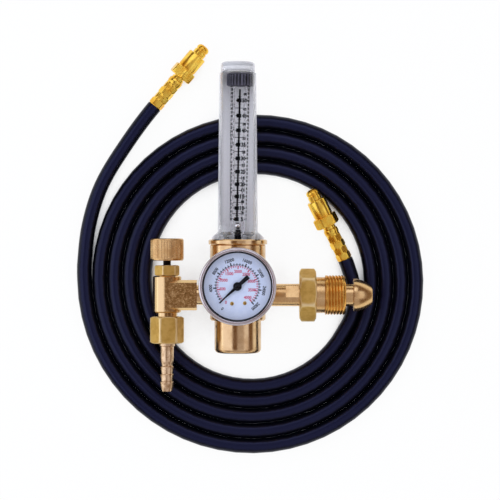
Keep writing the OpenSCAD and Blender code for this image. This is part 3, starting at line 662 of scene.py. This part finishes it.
# %% Make clear plastics
def clear_plastic(name, tint, ior, roughness, centre, axis, edge=None, milky=None):
    """edge is a darker tint, seen where the skin is seen from the side; milky is a colour, and a
    function that adds nodes for where the skin is clear."""
    material, tree, shader, place = start_material(name, IOR=ior, Roughness=roughness,
                                            Transmission_Weight=1.0, Base_Color=linear(tint),
                                            Specular_Tint=linear("#44444a"))
    haze = add_node(
        tree, "TexNoise", {"Vector": place.outputs["Object"], "Scale": 1 / (6 * MM), "Detail": 3.0})
    relief = add_node(tree, "Bump", {"Height": haze, "Distance": 0.02 * MM,
                                     "Normal": round_normal(tree, place, centre, axis)})
    fill(tree, shader, {"Normal": relief})
    if edge:
        along = add_node(tree, "LayerWeight", {"Blend": 0.5})
        grazing = add_node(
            tree, "MapRange", {"Value": along.outputs["Facing"], "From Min": 0.7, "From Max": 0.92})
        colour = add_node(
            tree, "Mix", {0: grazing, 6: linear(tint), 7: linear(edge)}, data_type="RGBA")
        fill(tree, shader, {"Base Color": colour.outputs[2]})
    ray = add_node(tree, "LightPath")
    passes = add_node(tree, "Math", {0: ray.outputs["Is Shadow Ray"],
                                     1: ray.outputs["Is Diffuse Ray"]}, operation="MAXIMUM")
    if milky:
        clear = milky[1](tree, add_node(tree, "SeparateXYZ", {0: place.outputs["Object"]}))
        colour = add_node(
            tree, "Mix", {0: clear, 6: linear(milky[0]), 7: linear(tint)}, data_type="RGBA")
        fill(tree, shader, {"Base Color": colour.outputs[2], "Transmission Weight": clear})
        passes = add_node(tree, "Math", {0: passes, 1: clear}, operation="MULTIPLY")
    lamp_way = add_node(tree, "BsdfTransparent", {"Color": linear(tint)})
    whole = add_node(tree, "MixShader", {0: passes, 1: shader, 2: lamp_way})
    fill(tree, tree.nodes["Material Output"], {"Surface": whole})
    return material


def cover_clear(tree, where):
    """1 where the cover is clear: its front half, but not its end or the shoulders of its foot."""
    front = add_node(
        tree, "MapRange", {"Value": where.outputs["Z"], "From Min": 24 * MM, "From Max": 29 * MM})
    end = add_node(tree, "MapRange", {"Value": where.outputs["Y"], "From Min": 146.5 * MM,
                                      "From Max": 149 * MM, "To Min": 1.0, "To Max": 0.55})
    foot = add_node(tree, "MapRange", {"Value": where.outputs["Y"], "From Min": 43 * MM,
                                       "From Max": 47 * MM, "To Min": 0.25, "To Max": 0.0})
    aside = add_node(tree, "Math", {0: where.outputs["X"]}, operation="ABSOLUTE")
    shoulder = add_node(tree, "MapRange", {"Value": aside, "From Min": 5 * MM, "From Max": 12 * MM})
    cloud = add_node(tree, "Math", {0: foot, 1: shoulder}, operation="MULTIPLY")
    unclouded = add_node(tree, "Math", {0: 1.0, 1: cloud}, operation="SUBTRACT")
    open_part = add_node(tree, "Math", {0: front, 1: end}, operation="MULTIPLY")
    return add_node(tree, "Math", {0: open_part, 1: unclouded}, operation="MULTIPLY")


polycarbonate = clear_plastic("moulded_clear_polycarbonate", "#fdfdfd", 1.58, 0.02,
                              (0, GAUGE_Y, 0), ALONG_Z)
acrylic = clear_plastic("extruded_clear_acrylic", "#fdfdfd", 1.49, 0.03, (1.2, 0, AXIS_Z), ALONG_Y,
                        edge="#3a3a46")
frosted_cover = clear_plastic("frosted_polycarbonate", "#fbfbfa", 1.58, 0.04, (0, 0, AXIS_Z),
                              ALONG_Y, milky=("#f6f3f7", cover_clear))
print("three clear plastics")

# %% [markdown]
# ## Dressing the solids that keep their shape
#
# A solid whose shape is already right only needs its finish. Each list below belongs to one
# material; the loop puts it in every material slot of the solid.

# %% Assign finishes to the solids
finishes = {
    body_brass_y: "regulator_body spring_bonnet cover_ring",
    case_brass: "gauge_case gauge_socket",
    tee_brass: "outlet_tee",
    bar_brass: "relief_cap",
    inner_brass: """slip_ring valve_seat relief_poppet gauge_pinion gauge_sector gauge_link
        movement_plates bourdon_tube""",
    stainless: """preset_screw spring_button diaphragm_plate valve_poppet poppet_spring hairspring
        knob_screw""",
    chrome: "float_ball",
    pointer_paint: "gauge_pointer",
    dial_enamel: "gauge_dial",
    polycarbonate: "gauge_lens",
    acrylic: "metering_tube",
    frosted_cover: "flow_cover",
    nylon: "float_seat",
    seal_rubber: "diaphragm lens_gasket cover_seal stem_o_ring",
    sintered: "inlet_filter",
}


def dress(piece, material):
    piece.data.materials.clear()
    piece.data.materials.append(material)


def finish_part(piece, material, past):
    """Gives another finish to the faces of a lathe piece that lie past a height in mm."""
    piece.data.materials.append(material)
    for face in piece.data.polygons:
        if face.center.z > past * MM:
            face.material_index = len(piece.data.materials) - 1


for material, names in finishes.items():
    for name in names.split():
        solid = frame["nodes"][name]
        for material_slot in solid.material_slots:
            material_slot.material = material
dress(hose, hose_rubber)
print(sum(len(names.split()) for names in finishes.values()), "solids dressed")

# %% [markdown]
# ## The inlet
#
# The nipple is one turned piece: a stem with two wrench flats, and a bullet end that seals against
# the cone in the cylinder's valve. The flats are planes, so their form limits the radius to the
# distance of the plane. The nut turns on the stem, and its thread is a real groove here.

# %% Turn the inlet nipple and its nut
def flatted(distance, roll):
    def limit(radius, height, angle):
        return min(radius, distance / max(abs(cos(angle - radians(roll))), 1e-6))
    return limit


flats = flatted(5.95, -25)
stem = ([(7.35, 18.4), (7.4, 18.5), (7.4, 31.5)]
        + [(7.4, h, flats) for h in heights(31.52, 40.08, 1)] + [(7.4, 40.1)])
nose = [(6.1 + 4.7 * (1 - t ** 1.8), 76.5 + 11.7 * t) for t in heights(0, 1, 1 / 20)]
nipple = turned(
    "inlet_nipple_turned", "regulator", inlet_axis,
    [(1.6, 18.3), (6.55, 18.3)] + stem
    + [(7.4, 75.9), (7.6, 76.1), (10.5, 76.1), (10.7, 76.2)] + nose
    + [(5.9, 88.38), (5.7, 88.4), (2.1, 88.4), (1.7, 88.1), (1.6, 87.8)], steps=144)
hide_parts("inlet_nipple")
dress(nipple, body_brass_z)

nut_hex = hexagonal(35.6, 21.5)
PITCH = 1.97
thread = threaded(PITCH, 0.6, 57.4, 70.9)
inlet_nut = turned(
    "inlet_nut_threaded", "inlet_nut", inlet_axis,
    [(7.5, 40.9), (7.8, 40.6), (15.4, 40.6)]
    + [(15.4 + 2.4 * t, 40.6 + 1.3 * t, nut_hex) for t in (0.02, 0.35, 0.7, 1)]
    + [(17.8, 46, nut_hex)]
    + [(17.8 - 2.4 * t, 50.2 + 1.3 * t, nut_hex) for t in (0, 0.3, 0.65, 0.98)]
    + [(15.2, 51.5), (12.2, 51.5), (11.85, 51.8), (11.85, 56.9), (11.7, 57.4), (12.7, 57.4),
       (13, 57.6)]
    + [(13, h, thread) for h in heights(57.7, 69.8, PITCH / 10)]
    + [(12.2, 70.75), (12, 70.85), (7.9, 70.85), (7.5, 70.4)], steps=144, crease=40)
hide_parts("inlet_nut")
dress(inlet_nut, bar_brass)
finish_part(inlet_nut, body_brass_z, 51.6)
finish_part(inlet_nut, thread_brass, 57.3)
print("the nut has", round(13.45 / PITCH, 1), "threads")

# %% [markdown]
# ## The outlet valve
#
# The packing nut and the outlet nut are hexagons; the knob is pressed with a straight knurl of
# 1 mm ridges and turned smooth at both rims. The needle's stem is a screw, so its thread shows
# between the nut and the knob.

# %% Turn the nuts, the stem and the knob
def hexagon_nut(name, body, place, material, across_corners, roll, low, high, cut, bore,
                more=(), steps=144):
    form = hexagonal(across_corners, roll)
    r = across_corners / 2
    profile = ([(bore, low + 0.4), (bore + 0.4, low), (r - cut, low)]
               + [(r - cut + cut * t, low + 0.55 * cut * t, form) for t in (0.03, 0.4, 0.75, 1)]
               + [(r, (low + high) / 2, form)]
               + [(r - cut * t, high - 0.55 * cut + 0.55 * cut * t, form)
                  for t in (0, 0.25, 0.6, 0.97)]
               + [(r - cut, high)] + list(more))
    nut = turned(name, body, place, profile, steps, crease=40)
    dress(nut, material)
    return nut


packing = hexagon_nut("packing_nut_turned", "regulator", valve_axis, bar_brass,
                      16.8, 42.5, 12.75, 19.6, 1.2, 2.75, [(3.1, 19.6), (2.75, 19.3)])
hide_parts("packing_nut")

outlet = hexagon_nut("outlet_nut_turned", "outlet_nut", valve_axis, bar_brass,
                     22.6, 36.9, -31.8, -14.2, 1.7, 5.25,
                     [(8.4, -14.2), (8, -14.6), (8, -28.3), (5.25, -28.3)])
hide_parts("outlet_nut")

stem_thread = threaded(1.0, 0.2, 11, 23.6)
needle = turned(
    "needle_stem_threaded", "needle", valve_axis,
    [(0, -2), (0.3, -2), (2.2, 2.6), (2.6, 3.2), (2.6, 11)]
    + [(2.6, h, stem_thread) for h in heights(11.1, 23.6, 1 / 8)]
    + [(2.6, 24), (2.6, 35.5), (1.45, 35.5), (1.45, 27.5), (0, 27.5)], steps=48)
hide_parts("needle_stem")
dress(needle, black_steel)

knurl = knurled(66, 0.3)
knob = turned(
    "flow_knob_knurled", "knob", valve_axis,
    [(2.62, 22.6), (6, 22.6), (9.9, 22.65)] + arc(0.8, (10, 23.45), -85, -10)
    + [(10.9, 23.8), (10.95, 24.1, knurl), (10.95, 30, knurl), (10.95, 36, knurl)]
    + [(10.85, 36.2)] + arc(1, (9.85, 36.2), 10, 85) + [(8.8, 37.25), (5, 37.3), (4.2, 37.3),
                                                       (4, 37.1), (4, 35.5), (2.62, 35.5)],
    steps=528, crease=60)
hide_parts("flow_knob")
dress(knob, body_brass_z)
print("the knob has 66 ridges, one to each", round(tau * 10.95 / 66, 2), "mm")

# %% [markdown]
# The barb is a sleeve with three ridges. Each ridge rises gently towards the nut and drops off
# sharply behind, so the hose slides on and can't slide off. Its flange stays inside the outlet nut.

# %% Turn the hose barb
barb = turned(
    "hose_barb_turned", "barb", valve_axis,
    [(1.8, -24.2), (1.8, -63.3), (2, -63.5), (3, -63.5), (3.3, -63.35), (3.6, -62.6), (4.1, -60.2),
     (4.55, -57.6), (4.6, -57.3), (4.5, -57.05), (4.05, -56.8), (4, -55.8), (4.45, -52.6),
     (4.5, -52.35), (4.4, -52.1), (3.95, -51.9), (3.9, -51.4), (4.35, -47.5), (4.4, -47.25),
     (4.3, -47), (3.8, -46.7), (3.7, -46), (3.85, -45.3), (4.1, -44.5), (4.35, -42.9), (4.45, -41),
     (4.42, -37), (4.4, -33.9), (4.7, -33.7), (5.05, -33.55), (5.15, -33.3), (5.15, -28.05),
     (7.5, -28.05), (7.5, -25.9), (3.5, -25.9), (1.9, -24.2)])
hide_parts("hose_barb")
dress(barb, barb_brass)
print("the barb has", len(barb.data.polygons), "faces")

# %% [markdown]
# ## The hose fittings
#
# Each end of the hose is pushed on a barbed tail, and a brass ferrule is crimped over it. The press
# bites four times, and each bite leaves six flats that are turned by half a flat from the last. A
# nut turns freely on the tail behind the tail's rounded nose, which is what seals.

# %% Make both hose ends
def hose_end(side, place, roll, nut_roll):
    bites = []
    for n in range(4):
        low, flats_here = 0.3 + 4.5 * n, hexagonal(10.5, roll + 30 * (n % 2))
        bites += [(4.55, low), (4.6, low + 0.3)]
        bites += [(5.05, h, flats_here) for h in (low + 0.5, low + 1.5, low + 3, low + 4.1)]
        bites += [(4.6, low + 4.3), (4.55, low + 4.48)]
    ferrule = turned(
        side + "_ferrule_crimped", "hose", place,
        [(2.75, 0.2), (2.95, 0), (4.4, 0)] + bites
        + [(4.6, 19), (4.7, 19.5), (4.9, 20), (4.9, 22.2), (4.75, 22.55), (4.4, 22.8),
           (2.75, 22.8)],
        steps=72, crease=24)
    tail = turned(
        side + "_tail_turned", "hose", place,
        [(1.4, 0.5), (2.7, 0.5), (2.7, 22.85), (4.1, 22.85), (4.2, 22.95), (4.2, 24.5), (4.1, 24.6),
         (3.5, 24.6), (3.5, 44.7), (4.15, 44.7), (4.3, 44.85), (4.3, 47.45), (4.15, 47.6),
         (3.8, 47.75), (3.75, 48.3), (3.9, 48.5), (4.3, 48.65)]
        + arc(0.8, (3.5, 49.6), 0, 25, 3) + arc(2.6, (1.75, 49.35), 25, 80, 8)
        + [(1.7, 51.99), (1.5, 51.9), (1.4, 51.7)], steps=72)
    nut_form = hexagonal(16.7, nut_roll)
    nut = turned(
        side + "_hose_nut_turned", side + "_hose_nut", place,
        [(3.6, 25.7), (3.9, 25.4), (7.3, 25.4)]
        + [(7.3 + 1.05 * t, 25.4 + 0.6 * t, nut_form) for t in (0.05, 0.45, 1)]
        + [(8.35, 29, nut_form)]
        + [(8.35 - 1.05 * t, 31.7 + 0.6 * t, nut_form) for t in (0, 0.5, 0.96)]
        + [(7.2, 32.3), (6.1, 32.35), (6.1, 33), (6.35, 33.2), (6.35, 43.7), (6.2, 44), (5.8, 44.3),
           (3.8, 44.3), (3.6, 44.1)], steps=120, crease=36)
    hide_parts(side + "_ferrule")
    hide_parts(side + "_tail")
    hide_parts(side + "_hose_nut")
    for piece in (ferrule, tail, nut):
        dress(piece, gold_brass)
    return ferrule, tail, nut


inner_end = hose_end("inner", inner_axis, 30, 37.5)
outer_end = hose_end("outer", outer_axis, 41, 13.5)
print("two hose ends of", len(inner_end), "pieces each")

# %% [markdown]
# ## The springs
#
# Two springs are shortened when the regulator works: the wide one that presets the pressure, and
# the small one that holds the relief valve shut. Each is round wire wound cold, so it is swept
# along a helix like the hose.

# %% Wind the springs
def wound(name, foot, along, middle_r, wire_r, length, turns, travel):
    along = Vector(along)
    across = along.orthogonal().normalized()
    beside = along.cross(across)
    line = []
    for i in range(turns * 24 + 1):
        height = wire_r + (length - 2 * wire_r) * i / (turns * 24)
        angle = tau * i / 24
        line.append(Vector(foot) + height * along
                    + middle_r * (cos(angle) * across + sin(angle) * beside))
    spring = sweep(name + "_wound", line, wire_r, 10, "regulator", along)
    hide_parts(name)
    dress(spring, stainless)
    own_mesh(spring)
    print(name, "has", turns, "turns and gives", travel, "mm")


wound("main_spring", (0, -31.45, AXIS_Z), ALONG_Y, 7, 1.2, 19.1, 5, 0.5)
wound("relief_spring", (0, 0, 1.7), ALONG_Z, 2.4, 0.35, 7.6, 5, 1)

# %% [markdown]
# ## The gauge
#
# The bezel is a ring of sheet brass that is rolled over the lens and plated. Its crown is what
# shows most, so the profile has many points there. A small black cap hides the spindle's end in
# the pointer's hub.

# %% Roll the bezel
bezel = turned(
    "gauge_bezel_rolled", "regulator", gauge_axis,
    [(23.65, 64), (24.6, 64), (24.85, 64.2), (24.9, 64.6), (24.9, 70.4)]
    + arc(1.5, (23.4, 70.5), 0, 90, 10) + [(23.1, 71.95)] + arc(0.55, (23, 71.4), 100, 178, 5)
    + [(22.45, 71.1), (22.5, 71.05), (23.65, 71.05)], steps=180)
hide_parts("gauge_bezel")
dress(bezel, plated)

screw_spots = ((-3.5, -11), (4.7, -10.7))
for number, (x, y) in enumerate(screw_spots, 1):
    spot = Matrix.Translation((x, GAUGE_Y + y, 0))
    screw = turned(
        f"dial_screw_{number}", "regulator", spot,
        [(0, 62.7), (0.7, 62.7), (0.7, 64), (1.2, 64), (1.2, 64.35), (1.1, 64.5), (0.85, 64.6),
         (0.75, 63.1), (0, 63)], steps=32)
    if number == 1:
        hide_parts("dial_screws")
    dress(screw, inner_brass)
pointer_cap = turned(
    "pointer_cap", "pointer", gauge_axis,
    [(0, 66.85), (0.8, 66.8), (1.15, 66.6), (1.25, 66.22), (0.65, 66.22), (0.65, 66.45),
     (0, 66.45)], steps=32)
dress(pointer_cap, pointer_paint)
print("the bezel is", round(bezel.dimensions.x / MM, 1), "mm across")

# %% [markdown]
# ## Printing
#
# Ink is a very thin layer that stands on the surface, so the figures here are thin plates of real
# thickness and not a picture. A mark is made flat around its own centre, and a second function says
# where it goes: onto the flat dial, or round the curved tube. Figures come from Blender's own font.

# %% Make marks and figures
INK = 0.02


def figure(text, height, width=None, bold=0.055):
    curve = bpy.data.curves.new("figure", "FONT")
    curve.body, curve.extrude, curve.resolution_u = text, 1, 2
    curve.offset = bold
    carrier = bpy.data.objects.new("figure", curve)
    mesh = bpy.data.meshes.new_from_object(carrier)
    corners = [v.co.copy() for v in mesh.vertices]
    faces = [tuple(face.vertices) for face in mesh.polygons]
    for data in (carrier, curve, mesh):
        bpy.data.batch_remove([data])
    low = [min(c[k] for c in corners) for k in (0, 1)]
    high = [max(c[k] for c in corners) for k in (0, 1)]
    scale_y = height / (high[1] - low[1])
    scale_x = width / (high[0] - low[0]) if width else scale_y
    return [((c.x - (low[0] + high[0]) / 2) * scale_x, (c.y - (low[1] + high[1]) / 2) * scale_y,
             INK if c.z > 0 else 0) for c in corners], faces


def band(ends, width):
    """A plate of even width along a line of (x, y) points."""
    points, faces = [], []
    for i, here in enumerate(ends):
        after, before = ends[min(i + 1, len(ends) - 1)], ends[max(i - 1, 0)]
        run, rise = after[0] - before[0], after[1] - before[1]
        span = hypot(run, rise)
        side = (-rise / span * width / 2, run / span * width / 2)
        for way, lift in ((-1, 0), (1, 0), (1, INK), (-1, INK)):
            points.append((here[0] + way * side[0], here[1] + way * side[1], lift))
    for i in range(len(ends) - 1):
        faces += [tuple(4 * i + k for k in (j, (j + 1) % 4, (j + 1) % 4 + 4, j + 4))
                  for j in range(4)]
    return points, faces + [(0, 1, 2, 3), tuple(4 * len(ends) - k for k in (1, 2, 3, 4))]


def stamp(sheet, shape, put):
    start = len(sheet[0])
    sheet[0].extend(put(*point) for point in shape[0])
    sheet[1].extend(tuple(start + i for i in face) for face in shape[1])


def ring_spot(radius, angle):
    return radius * cos(radians(angle)), radius * sin(radians(angle))


print("a 0 has", len(figure("0", 2)[1]), "faces")

# %% [markdown]
# ### The dial
#
# The pressure reads from 0 at the lower left, clockwise through three quarters of a turn. The red
# scale inside is in pounds per square inch, up to 4000. The black one outside is in kilopascals, so
# its step of 4000 covers a little more than the red step of 500.

# %% Print the dial
DIAL_TOP = 64.0
ZERO, SWEEP = 223, 270
RED_STEPS, BLACK_STEP = 8, 38.7
black, red = ([], []), ([], [])


def on_dial(x=0, y=0, turn=0):
    c, s = cos(radians(turn)), sin(radians(turn))
    return lambda u, v, lift: (x + c * u - s * v, GAUGE_Y + y + s * u + c * v,
                               DIAL_TOP + 0.01 + lift)


def scale_arc(sheet, radius, width, sweep):
    line = [ring_spot(radius, ZERO - sweep * i / 90) for i in range(91)]
    stamp(sheet, band(line, width), on_dial())


def tick(sheet, angle, low, high, width):
    stamp(sheet, band([ring_spot(low, angle), ring_spot(high, angle)], width), on_dial())


# The black ring at the rim of the dial is painted shade, where the bezel's edge shades the dial; it
# goes in with the black print.
stamp(black, band([ring_spot(21.9, 4 * i) for i in range(91)], 0.9), on_dial())
scale_arc(black, 13.9, 0.3, SWEEP)
scale_arc(red, 13.2, 0.2, SWEEP)
for i in range(RED_STEPS * 5 + 1):
    long_tick = i % 5 == 0
    tick(red, ZERO - SWEEP * i / RED_STEPS / 5, 11.2 if long_tick else 12.1, 13.3,
         0.75 if long_tick else 0.5)
for i in range(36):
    long_tick = i % 5 == 0
    tick(black, ZERO - BLACK_STEP * i / 5, 13.4, 15.6 if long_tick else 14.8,
         0.8 if long_tick else 0.55)
for i in range(RED_STEPS + 1):
    text = str(500 * i)
    x, y = ring_spot(9.6, ZERO - SWEEP * i / RED_STEPS) if i else ring_spot(12.6, ZERO + 11)
    stamp(red, figure(text, 2.1, 1.24 * len(text), 0.03), on_dial(x, y))
for i in range(8):
    text = str(4000 * i)
    angle = ZERO - BLACK_STEP * i if i else ZERO + 13
    x, y = ring_spot(17.2, angle)
    stamp(black, figure(text, 2.2, 1.2 * len(text), 0.03), on_dial(x, y, angle - 90))
for name, sheet, ink in (("dial_black_print_and_shade_ring", black, black_ink), ("dial_print_red", red, red_ink)):
    print_piece = new_piece(name, *sheet, "regulator")
    dress(print_piece, ink)
    print(name, "has", len(sheet[1]), "faces")

# %% [markdown]
# ## The tube's cap
#
# A ribbed cap centres the metering tube in its cover. Its ribs carry a painted grey highlight on
# their crests and stay black between, which pointiness can tell apart because the mesh is fine
# enough there.

# %% Turn the ribbed cap
TUBE_LENGTH, TUBE_FOOT_R, TUBE_TOP_R = 108, 5.3, 6.6
TUBE_FOOT_Y = 34
lean = radians(0.8)
tube_axis = axis_place((0, TUBE_FOOT_Y, AXIS_Z), (sin(lean), cos(lean), 0))
ribs = knurled(26, 0.6)
cap = turned(
    "tube_cap_ribbed", "regulator", tube_axis,
    [(6.65, 103.5), (8, 103.5), (8.3, 103.7)]
    + [(8.74, h, ribs) for h in (103.9, 106.5, 109, 111.1)]
    + [(8.3, 111.3), (8, 111.5), (3, 111.5), (3, 108), (6.65, 108)], steps=208, crease=60)
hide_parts("tube_cap")
dress(cap, ribbed_nylon)
print("the cap has 26 ribs, one to each", round(tau * 8.74 / 26, 1), "mm")

# %% [markdown]
# ## The flow scale
#
# The figures stand on the metering tube itself. A dark line runs up its front with a bold mark at
# each multiple of five, and the marks get further apart as the tube gets wider. Each mark is
# wrapped round the tube, whose radius grows from 5.3 to 6.6 mm along its 108 mm.

# %% Print the flow scale
scale_print = ([], [])


def on_tube(side, along):
    """Wraps a mark round the tube, side mm to the right of its front line and along mm up it."""
    def put(u, v, lift):
        height = along + v
        radius = TUBE_FOOT_R + (TUBE_TOP_R - TUBE_FOOT_R) * height / TUBE_LENGTH
        angle = (side + u) / radius
        return tube_axis @ Vector(((radius + 0.01 + lift) * cos(angle),
                                   (radius + 0.01 + lift) * sin(angle), height))
    return put


def line_side(along):
    return -0.95 * (1 - along / 100)


def mark_height(number):
    """How far up the tube a mark stands; the first is number 0, and half numbers lie between."""
    return 19.4 + 7.3 * number + 0.17 * number * number


main_line = [(line_side(a), a) for a in heights(15, 101, 4)]
stamp(scale_print, band(main_line, 1.15), on_tube(0, 0))
for n in range(9):
    along = mark_height(n)
    side = line_side(along)
    stamp(scale_print, band([(-2.9 + 0.36 * i, 0) for i in range(17)], 0.42), on_tube(side, along))
for n in range(10):
    along = mark_height(n - 0.5)
    side = line_side(along)
    text = str(5 * (n + 1))
    stamp(scale_print, band([(0, -1.3), (0, 1.3)], 3), on_tube(side - 0.3, along))
    stamp(scale_print, figure(text, 2.9, 1.7 * len(text)), on_tube(side + 3.3, along))
    stamp(scale_print, band([(-0.4, 0), (0.4, 0)], 0.8), on_tube(side - 2, along))
    stamp(scale_print, band([(-0.4, 0), (0.4, 0)], 0.8), on_tube(side + 5.4, along))
    stamp(scale_print, figure(str(5 * n + 3), 2, 2.6), on_tube(side + 3.6, along + 4.2))
    for part in (-0.3, 0.3):
        stamp(scale_print, band([(-1.1, 0), (1.1, 0)], 0.35), on_tube(side, along + 8 * part))
for n in range(36):
    along = 16 + 2.5 * n
    stamp(scale_print, figure(str(n + 1), 1.9, 2.8), on_tube(-6.2, along))
    stamp(scale_print, band([(-0.4, 0), (0.4, 0)], 0.6), on_tube(-3.9, along + 1.2 * (n % 2)))
    stamp(scale_print, band([(0, -0.8), (0, 0.8)], 2.4), on_tube(7, along))
flow_print = new_piece("flow_scale_print", *scale_print, "regulator")
dress(flow_print, scale_ink)
print("the flow scale has", len(scale_print[1]), "faces")

# %% [markdown]
# ## The end

# %% Finish
print("the scene is built")
